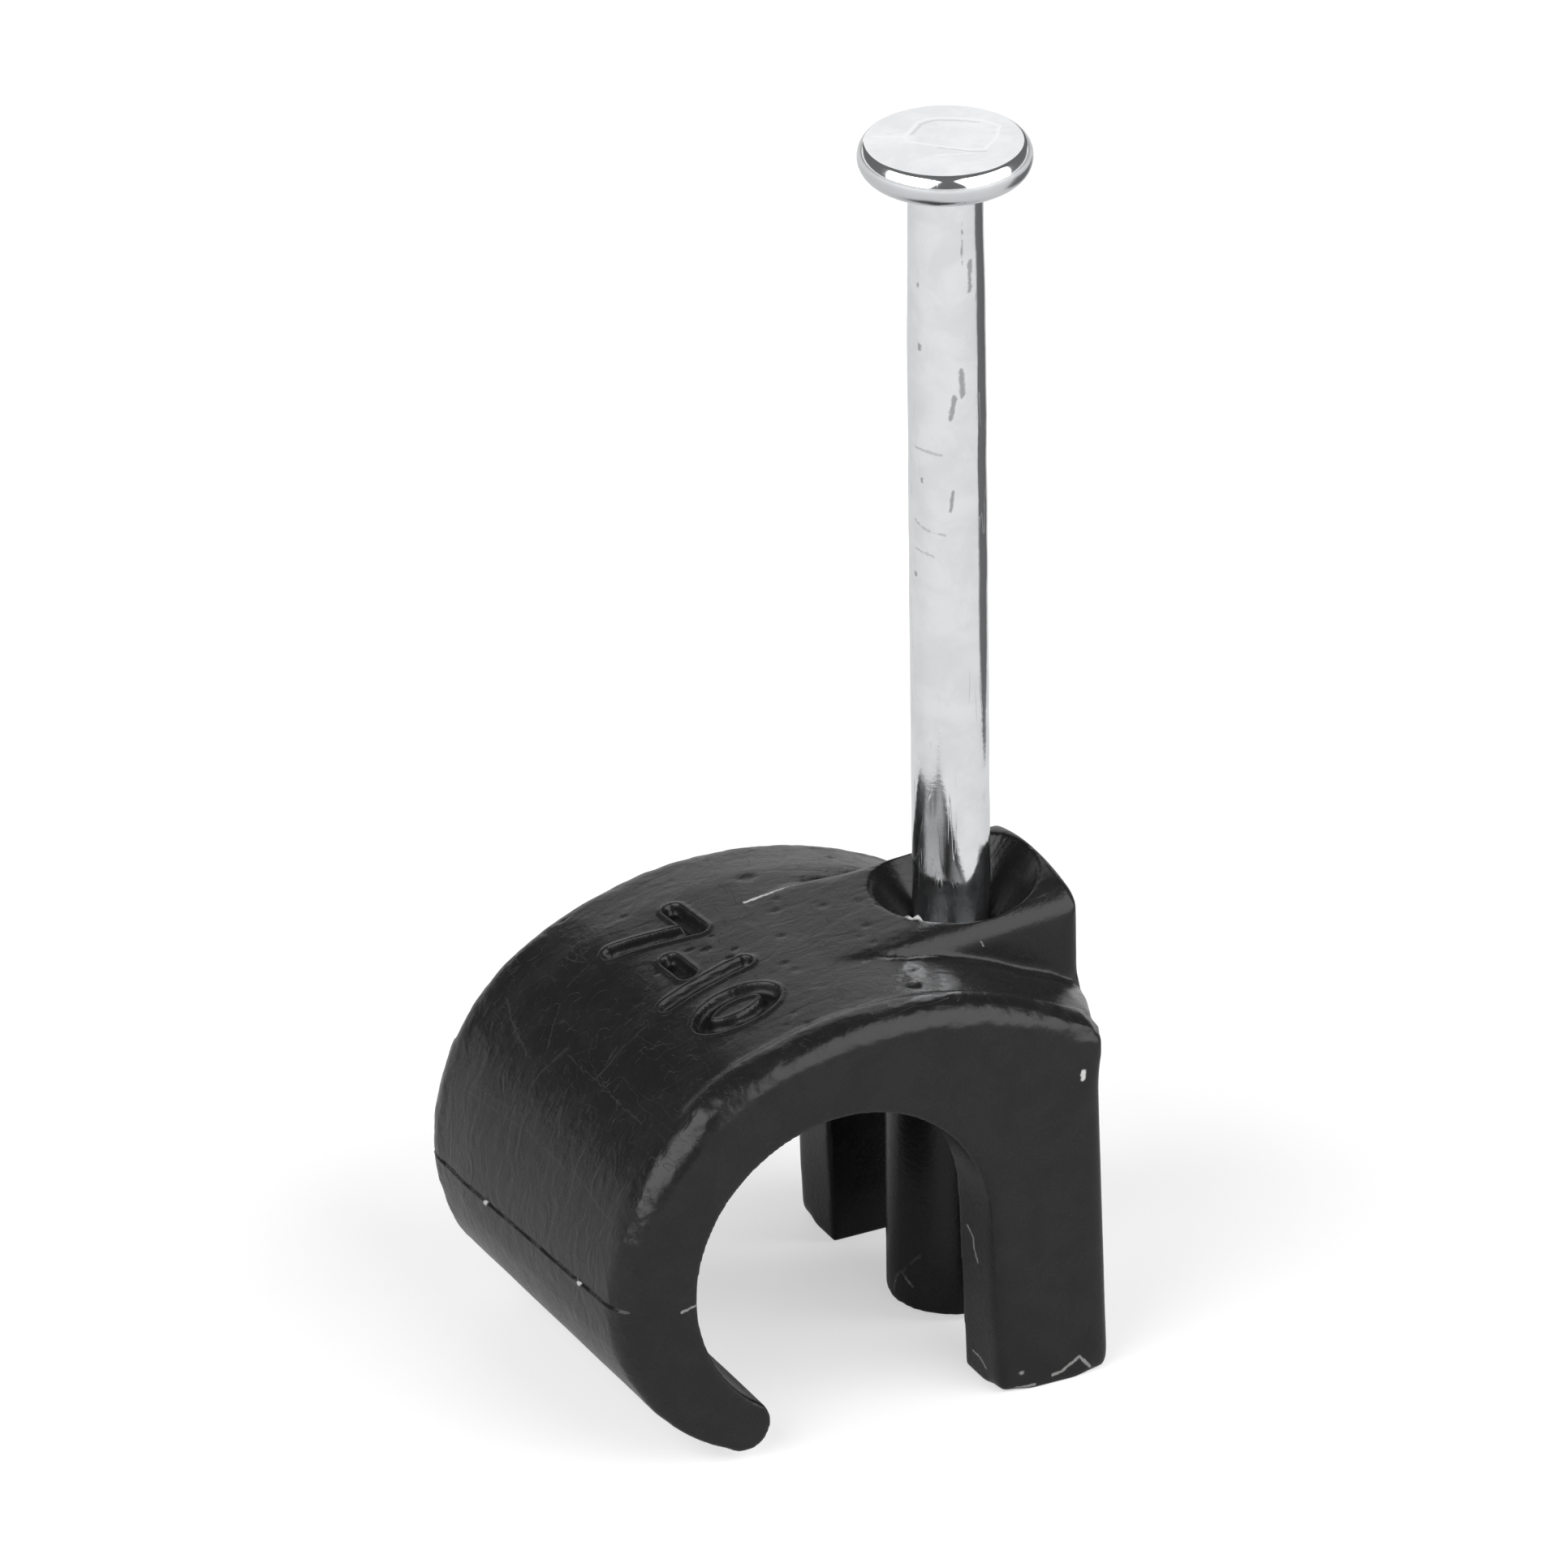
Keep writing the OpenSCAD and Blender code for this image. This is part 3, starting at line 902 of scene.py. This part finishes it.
def pulled_in(beyond, radius):
    """How far to pull places back that lie outside a rounded edge of the given radius."""
    over = np.maximum(beyond + radius, 0)
    size = np.maximum(np.linalg.norm(over, axis=1), radius)
    return over * (1 - radius / size)[:, None]


def lower_far_rim(points):
    """Sinks the far rim into the arch's skin, rounds it and lets it droop, as the photograph shows it."""
    height, out = above_skin(points)
    along = points[:, 1]
    share = 1 - (1 - FAR_SIDE_SHARE) * fade(hook_angle(points), *FAR_SIDE)
    droop = FAR_DROOP * share * fade(along, FAR_FROM, CLIP_HIGH.y)
    pull = pulled_in(np.stack([height + droop, along - CLIP_HIGH.y], axis=1), FAR_ROUND)
    pull *= (fade(along, FAR_FROM, FAR_FULL) * (FAR_LEAST + (1 - FAR_LEAST) * share))[:, None]
    moved = points.copy()
    moved[:, [0, 2]] -= out * pull[:, :1]
    moved[:, 1] -= pull[:, 1]
    return moved


def round_near_edge(points):
    """Rounds the hook's near edge widely, from where the rolled rim runs out down to the tip."""
    height, out = above_skin(points)
    angle = hook_angle(points)
    chosen = fade(angle, ROLL_FROM, ROLL_FROM + ROLL_RUN_IN)
    chosen *= 1 - fade(angle, HOOK_END - TIP_RUN_OUT, HOOK_END)
    pull = pulled_in(np.stack([height, -points[:, 1] - CLIP_HIGH.y], axis=1), NEAR_ROUND) * chosen[:, None]
    moved = points.copy()
    moved[:, [0, 2]] -= out * pull[:, :1]
    moved[:, 1] += pull[:, 1]
    return moved


def round_boss_sides(points, chosen):
    """Rounds the boss's long top edges widely."""
    side = np.abs(points[:, 1]) - BOSS_HALF
    pull = pulled_in(np.stack([side, points[:, 2] - boss_top(points)], axis=1), BOSS_ROUND) * chosen
    moved = points.copy()
    moved[:, 1] -= pull[:, 0] * np.sign(points[:, 1])
    moved[:, 2] -= pull[:, 1]
    return moved


def round_boss_end(points, chosen):
    """Rounds the top edge of the boss's end, which bends down at both sides."""
    inset = np.clip(np.abs(points[:, 1]) - BOSS_HALF + BOSS_ROUND, 0, BOSS_ROUND)
    top = boss_top(points) - (BOSS_ROUND - np.sqrt(BOSS_ROUND ** 2 - inset ** 2))
    beyond = np.stack([points[:, 0] - CLIP_HIGH.x, points[:, 2] - top], axis=1)
    pull = pulled_in(beyond, BOSS_END_ROUND) * chosen
    moved = points.copy()
    moved[:, 0] -= pull[:, 0]
    moved[:, 2] -= pull[:, 1]
    return moved


def round_boss_corners(points, chosen):
    """Rounds the upright corners of the boss's end."""
    beyond = np.stack([points[:, 0] - CLIP_HIGH.x, np.abs(points[:, 1]) - BOSS_HALF], axis=1)
    pull = pulled_in(beyond, BOSS_CORNER) * chosen
    moved = points.copy()
    moved[:, 0] -= pull[:, 0]
    moved[:, 1] -= pull[:, 1] * np.sign(points[:, 1])
    return moved


def round_boss(points):
    """Rounds the boss: its long top edges widely, and the edges and corners of its end less."""
    within = np.abs(points[:, 1]) - BOSS_HALF < BOSS_MARGIN
    chosen = (fade(points[:, 0], *BOSS_RUN_IN) * within)[:, None]
    upper = chosen * fade(points[:, 2], *BOSS_CORNER_FROM)[:, None]
    moved = round_boss_sides(points, chosen)
    moved = round_boss_end(moved, chosen)
    return round_boss_corners(moved, upper)


def dome_boss(points):
    """Lets the boss's top rise a little in the middle of its end."""
    across = np.clip(1 - (points[:, 1] / (BOSS_HALF - BOSS_CORNER)) ** 2, 0, 1)
    top = boss_top(points)
    lift = BOSS_DOME * across * fade(points[:, 0], *DOME_RUN_IN)
    moved = points.copy()
    moved[:, 2] += lift * fade(points[:, 2], top - DOME_ROOT, top - DOME_SKIN)
    return moved


def deepen_dish(points):
    """Makes the dish's wall straight like a countersink's, from its rim down to the nail's hole."""
    away = np.hypot(points[:, 0] - NAIL_X, points[:, 1])
    wall = np.clip(away, HOLE_R, DISH_RIM)
    now = np.sqrt(DISH_R ** 2 - wall ** 2) - math.sqrt(DISH_R ** 2 - DISH_RIM ** 2)
    drop = np.maximum((DISH_RIM - wall) * DISH_SLOPE - now, 0)
    below = DISH_TOP - points[:, 2]
    moved = points.copy()
    moved[:, 2] -= drop * (away < DISH_RIM) * (1 - fade(below, *DISH_FADE))
    return moved


def flare_leg(points):
    """Lets the leg's outer face lean out towards the wall, as much as its edge does in the photograph."""
    across = points[:, 0]
    height = points[:, 2]
    deep, near = LEG_SKIN
    face = fade(across, LEG_END - deep, LEG_END - near) * (across < LEG_END + LEG_PROUD) * (height < LEG_TOP)
    top, foot = LEG_FLARE
    lean = foot + (top - foot) * np.clip(height / LEG_TOP, 0, 1)
    moved = points.copy()
    moved[:, 0] += face * lean
    return moved


def edge_weight(points):
    """Where the moulding is rounder than elsewhere: the upright edges of its legs."""
    end = np.abs(points[:, 1]) - CLIP_HIGH.y
    weight = np.zeros(len(points))
    for across, reach, heights in LEG_EDGES:
        near = 1 - fade(np.hypot(points[:, 0] - across, end), *reach)
        weight = np.maximum(weight, near * (1 - fade(points[:, 2], *heights)))
    return weight


def soften(mesh, weight, passes):
    """Smooths the mesh, the more often the more weight a point has."""
    bm = from_mesh(mesh)
    bm.verts.ensure_lookup_table()
    for step in range(passes):
        chosen = [bm.verts[i] for i in np.flatnonzero(weight > step / passes)]
        bmesh.ops.smooth_vert(bm, verts=chosen, factor=SMOOTH_SHARE,
                              use_axis_x=True, use_axis_y=True, use_axis_z=True)
    put_back(bm, mesh)


# Surface of the moulding

def refine_numerals(mesh):
    """Splits the faces where the numerals go, so that their edges are clean."""
    low = math.radians(NUMERAL_TOP) * HOOK_R - NUMERAL_MARGIN
    high = math.radians(NUMERAL_FOOT) * HOOK_R + NUMERAL_MARGIN
    points = vectors_of(mesh, "co")
    along = points[:, 1]
    round_hook, radius = hook_places(points)
    inside = (round_hook > low) & (round_hook < high) & (radius > HOOK_R - NUMERAL_MARGIN)
    inside &= along < NUMERAL_START + NUMERAL_MARGIN
    inside &= along > NUMERAL_START - ZERO_MID[0] - ZERO_HALF[0] - NUMERAL_MARGIN
    bm = from_mesh(mesh)
    edges = [e for e in bm.edges if all(inside[v.index] for v in e.verts)]
    bmesh.ops.subdivide_edges(bm, edges=edges, cuts=1, use_grid_fill=True)
    put_back(bm, mesh)


def numeral_relief(points):
    """The numerals' sunk strokes, with a low lip round them."""
    gap = stroke_distance(hook_places(points)[0], points[:, 1])
    groove = -STROKE_DEPTH * (1 - np.minimum(1, gap / STROKE_R) ** STROKE_FLATNESS)
    groove *= 1 + rough(points, *STROKE_WAVE)
    return groove + LIP_H * fade(gap, *LIP_RISE) * (1 - fade(gap, *LIP_FALL))


def rim_relief(points):
    """The unevenness of the arch's two rims, which the legs don't have."""
    arch = np.maximum(1 - fade(points[:, 0], *ARCH_SIDE), fade(points[:, 2], *ARCH_FOOT))
    rim = fade(np.abs(points[:, 1]), *RIM_FROM) * arch
    return rim * sum(rough(points, *wave) for wave in RIM_WAVES)


def bump_relief(points):
    """The small bumps."""
    relief = np.zeros(len(points))
    for spot, height, width in BUMPS:
        away = np.linalg.norm(points - np.array(spot), axis=1)
        relief += height * (1 - fade(away, SPOT_FLAT * width, width))
    return relief


def pit_relief(points):
    """The pits that stand in the list, and loose ones strewn between them."""
    rng = np.random.default_rng(PIT_SEED)
    loose = [(*rng.uniform(LOOSE_LOW, LOOSE_HIGH), rng.uniform(*LOOSE_WIDTHS)) for _ in range(LOOSE_PITS)]
    relief = np.zeros(len(points))
    for across, along, width in PITS + loose:
        away = np.hypot((points[:, 0] - across) / PIT_STRETCH, points[:, 1] - along)
        relief -= PIT_DEPTH * width * (1 - fade(away, SPOT_FLAT * width, PIT_EDGE * width))
    return relief


def shape_surface(mesh):
    """Sinks the numerals, and gives the skin its bumps, pits and uneven rims."""
    points = vectors_of(mesh, "co")
    normals = vectors_of(mesh, "normal")
    deep, near = SKIN_DEPTHS
    outside = fade(hook_places(points)[1], HOOK_R - deep, HOOK_R - near)
    facing_up = fade(normals[:, 2], *UP_FACING)
    move = (numeral_relief(points) + rim_relief(points) + pit_relief(points) * facing_up) * outside
    move += rough(points, *SKIN_WAVE) + bump_relief(points)
    move_points(mesh, points + normals * move[:, None])


def parting_shift(above, along):
    """How far the skin moves across near the parting line: in at the crease, and out below it."""
    ripple = noise.noise(Vector((PARTING_SEED, along * PARTING_RIPPLE, 0)))
    wave = 1 - PARTING_WAVE + PARTING_WAVE * ripple
    if abs(above - CREASE_STEP) < CREASE_HALF:
        return PARTING_CREASE * wave
    if above < LEDGE_TOP:
        return -PARTING_PROUD * wave * (1 + above / PARTING_REACH)
    return 0.0


def cut_parting_line(mesh):
    """Draws the mould's parting line on the hook: a crease above a lower half that stands proud."""
    outermost = BORE.x - HOOK_R
    upright = Vector((0, PARTING_TILT, 1)).normalized()
    bm = from_mesh(mesh)
    for step in PARTING_STEPS:
        near = [f for f in bm.faces if f.calc_center_median().x < outermost + PARTING_BAND]
        edges = dict.fromkeys(e for f in near for e in f.edges)
        verts = dict.fromkeys(v for f in near for v in f.verts)
        place = (0, CLIP_LOW.y, PARTING_Z + step)
        bmesh.ops.bisect_plane(bm, geom=[*near, *edges, *verts], plane_co=place, plane_no=upright,
                               dist=SAME_PLACE)
    for vert in bm.verts:
        above = vert.co.z - PARTING_Z + PARTING_TILT * (vert.co.y - CLIP_LOW.y)
        if vert.co.x <= outermost + PARTING_SKIN and abs(above) <= PARTING_REACH:
            vert.co.x += parting_shift(above, vert.co.y)
    put_back(bm, mesh)


def unroll(mesh):
    """Gives the mesh flat places for the hook's scratches, and marks its outer skin and the grooves."""
    points = vectors_of(mesh, "co")
    normals = vectors_of(mesh, "normal")
    round_hook = hook_places(points)[0]
    flat = np.stack([round_hook, points[:, 1]], axis=1).astype(np.float32)
    corners = np.zeros(len(mesh.loops), np.int32)
    mesh.loops.foreach_get("vertex_index", corners)
    mesh.uv_layers.new(name="unrolled").data.foreach_set("uv", flat[corners].ravel())
    skin = fade(above_skin(points)[0], *SKIN_HEIGHTS) * (1 - fade(np.abs(normals[:, 1]), *END_FACING))
    inside = 1 - fade(stroke_distance(round_hook, points[:, 1]), *STROKE_INSIDE)
    for name, values in (("skin", skin), ("groove", inside * skin)):
        mesh.attributes.new(name, "FLOAT", "POINT").data.foreach_set("value", values.astype(np.float32))


def make_clip(material):
    """The clip: the solid's mesh made even, shaped further and given its surface."""
    bm = from_mesh(frame["nodes"]["clip_body"].data)
    bmesh.ops.scale(bm, vec=Vector((1, 1, 1)) / MM, verts=bm.verts)
    bmesh.ops.remove_doubles(bm, verts=bm.verts, dist=WELD)
    add_eave(bm)
    mesh = modified(to_mesh(bm, "clip"), "REMESH", mode="VOXEL", voxel_size=VOXEL)
    points = round_near_edge(lower_far_rim(vectors_of(mesh, "co")))
    points = flare_leg(dome_boss(deepen_dish(round_boss(points))))
    move_points(mesh, points)
    soften(mesh, edge_weight(points), EDGE_SOFTENING)
    soften(mesh, np.ones(len(points)), SOFTENING)
    refine_numerals(mesh)
    shape_surface(mesh)
    mesh.calc_loop_triangles()
    mesh = modified(mesh, "DECIMATE", ratio=CLIP_TRIANGLES / len(mesh.loop_triangles))
    cut_parting_line(mesh)
    highest = CLIP_HIGH + Vector((0, 0, BOSS_DOME))
    move_points(mesh, np.clip(vectors_of(mesh, "co"), CLIP_LOW, highest))
    unroll(mesh)
    return place_piece(mesh, "clip_moulding", "clip_body", material)


# The nail

def arc(middle, radius, start, end):
    """Points along an arc, from one angle to another."""
    turns = [start + (end - start) * i / HEAD_STEPS for i in range(HEAD_STEPS + 1)]
    return [middle + radius * Vector((math.cos(t), math.sin(t))) for t in turns]


def head_outline(head_r):
    """The head's side from its flat underside up to its flat top: a wide curve, then a tight edge."""
    turn = math.radians(HEAD_TURN)
    side_r = (HEAD_H - HEAD_EDGE_R * (1 - math.sin(turn))) / (1 + math.sin(turn))
    side = Vector((head_r - side_r, TOP_Z - HEAD_H + side_r))
    edge = side + (side_r - HEAD_EDGE_R) * Vector((math.cos(turn), math.sin(turn)))
    quarter = math.pi / 2
    outline = arc(side, side_r, -quarter, turn) + arc(edge, HEAD_EDGE_R, turn, quarter)[1:]
    return [tuple(place) for place in outline]


def nail_outline():
    """The nail's half outline from its point to the middle of its head, as (radius, height)."""
    head = head_outline((NAIL_HIGH.x - NAIL_LOW.x) / 2)
    under = TOP_Z - HEAD_H
    foot = NAIL_LOW.z + POINT_L
    outline = [(0.0, NAIL_LOW.z), (POINT_R, NAIL_LOW.z)]
    rings = round((under - foot) / RING_GAP)
    for i in range(rings + 1):
        z = foot + (under - foot) * i / rings
        outline.append((SHANK_R * (1 - NECK_THINNER * fade(z, under - NECK_L, under)), z))
    neck = outline[-1][0]
    step = (head[0][0] - neck) / UNDERSIDE_RINGS
    outline += [(neck + step * i, under) for i in range(1, UNDERSIDE_RINGS)]
    outline += head
    outline += [(head[-1][0] * (1 - i / HEAD_RINGS), TOP_Z) for i in range(1, HEAD_RINGS + 1)]
    return outline


def make_nail(material):
    """The nail: its half outline spun round, with a slight wave along its shank."""
    bm = bmesh.new()
    verts = [bm.verts.new((NAIL_X + r, 0, z)) for r, z in nail_outline()]
    edges = [bm.edges.new(pair) for pair in zip(verts, verts[1:])]
    bmesh.ops.spin(bm, geom=verts + edges, cent=(NAIL_X, 0, 0), axis=(0, 0, 1), angle=math.tau,
                   steps=NAIL_STEPS, use_merge=True)
    bmesh.ops.remove_doubles(bm, verts=bm.verts, dist=SAME_PLACE)
    bmesh.ops.recalc_face_normals(bm, faces=bm.faces)
    mesh = to_mesh(bm, "nail")
    mesh.update()
    points = vectors_of(mesh, "co")
    under = TOP_Z - HEAD_H
    wave = rough(points, *NAIL_WAVE) * (1 - fade(points[:, 2], under - WAVE_STOP, under))
    move_points(mesh, points + vectors_of(mesh, "normal") * wave[:, None])
    return place_piece(mesh, "plated_nail", "nail", material)


# Floor, lamps and sky

def stage_piece(bm, name, material):
    """Puts a plain piece of the studio into the scene."""
    mesh = to_mesh(bm, name)
    mesh.materials.append(material)
    piece = bpy.data.objects.new(name, mesh)
    bpy.context.scene.collection.objects.link(piece)
    return piece


def seen_directly(tree):
    """1 for rays from the camera, and for those that gloss or glass sends on."""
    path = tree.nodes.new("ShaderNodeLightPath").outputs
    either = math_node(tree, "MAXIMUM", path["Is Camera Ray"], path["Is Glossy Ray"])
    return math_node(tree, "MAXIMUM", either, path["Is Transmission Ray"])


def pale_floor():
    """The floor's finish: plain grey for the light it throws back, and paler where it is seen."""
    material = bpy.data.materials.new("pale_floor")
    material.use_nodes = True
    tree = material.node_tree
    tree.nodes.clear()
    path = tree.nodes.new("ShaderNodeLightPath").outputs
    matt = add_node(tree, "ShaderNodeBsdfDiffuse", Color=FLOOR_SEEN)
    glow = ramp(tree, path["Is Camera Ray"], 0.0, 1.0, GLOSS_LIFT, FLOOR_LIFT)
    lift = add_node(tree, "ShaderNodeEmission", Color=WHITE, Strength=glow)
    seen = tree.nodes.new("ShaderNodeAddShader")
    wire(tree, matt.outputs[0], seen.inputs[0])
    wire(tree, lift.outputs[0], seen.inputs[1])
    bounce = add_node(tree, "ShaderNodeBsdfDiffuse", Color=FLOOR_BOUNCE)
    mix = tree.nodes.new("ShaderNodeMixShader")
    wire(tree, seen_directly(tree), mix.inputs[0])
    wire(tree, bounce.outputs[0], mix.inputs[1])
    wire(tree, seen.outputs[0], mix.inputs[2])
    end = tree.nodes.new("ShaderNodeOutputMaterial")
    wire(tree, mix.outputs[0], end.inputs["Surface"])
    return material


def make_floor():
    """A wide flat floor at the part's foot."""
    bm = bmesh.new()
    bmesh.ops.create_grid(bm, x_segments=1, y_segments=1, size=FLOOR_HALF * MM)
    stage_piece(bm, "floor", pale_floor())


def make_sky():
    """A studio that is white at the height of the horizon and dim overhead."""
    world = bpy.data.worlds.new("studio")
    bpy.context.scene.world = world
    world.use_nodes = True
    tree = world.node_tree
    tree.nodes.clear()
    way = tree.nodes.new("ShaderNodeTexCoord").outputs["Generated"]
    height = add_node(tree, "ShaderNodeSeparateXYZ", Vector=way).outputs["Z"]
    level = ramp(tree, height, *SKY_TURN, SKY_LOW, SKY_HIGH)
    light = add_node(tree, "ShaderNodeBackground", Color=WHITE, Strength=level)
    end = tree.nodes.new("ShaderNodeOutputWorld")
    wire(tree, light.outputs[0], end.inputs["Surface"])


def add_softbox(name, azimuth, elevation, width, height, radiance):
    """A soft lamp that looks at the part from the given side and height, as bright as the radiance says."""
    away = way_to(azimuth, elevation)
    data = bpy.data.lights.new(name, "AREA")
    data.shape = "RECTANGLE"
    data.size = width * MM
    data.size_y = height * MM
    data.energy = radiance * math.pi * (width * MM) * (height * MM)
    lamp = bpy.data.objects.new(name, data)
    lamp.location = (SOFTBOX_AIM + away * SOFTBOX_AWAY) * MM
    lamp.rotation_euler = away.to_track_quat("Z", "Y").to_euler()
    bpy.context.scene.collection.objects.link(lamp)


def add_dark_card():
    """A dark card on the right of the part that only reflections show, as the dark band on the nail does."""
    material = bpy.data.materials.new("dark_card")
    material.use_nodes = True
    shader = material.node_tree.nodes["Principled BSDF"]
    shader.inputs["Base Color"].default_value = CARD_COLOUR
    shader.inputs["Roughness"].default_value = CARD_ROUGHNESS
    bm = bmesh.new()
    bm.faces.new([bm.verts.new(corner * MM) for corner in CARD_CORNERS])
    card = stage_piece(bm, "dark_card", material)
    card.visible_camera = False
    card.visible_diffuse = False
    card.visible_shadow = False


def make_stage():
    """The studio round the part."""
    make_floor()
    make_sky()
    for name, row in SOFTBOXES.items():
        add_softbox(name, *row)
    add_dark_card()
    bpy.context.scene.view_settings.view_transform = "Standard"


set_camera()
surface_grain = grain_group()
fine_scratches = scratch_group()
line_mark = mark_group()
make_clip(clip_plastic(surface_grain, fine_scratches, line_mark))
make_nail(nail_zinc(surface_grain, fine_scratches, line_mark))
make_stage()
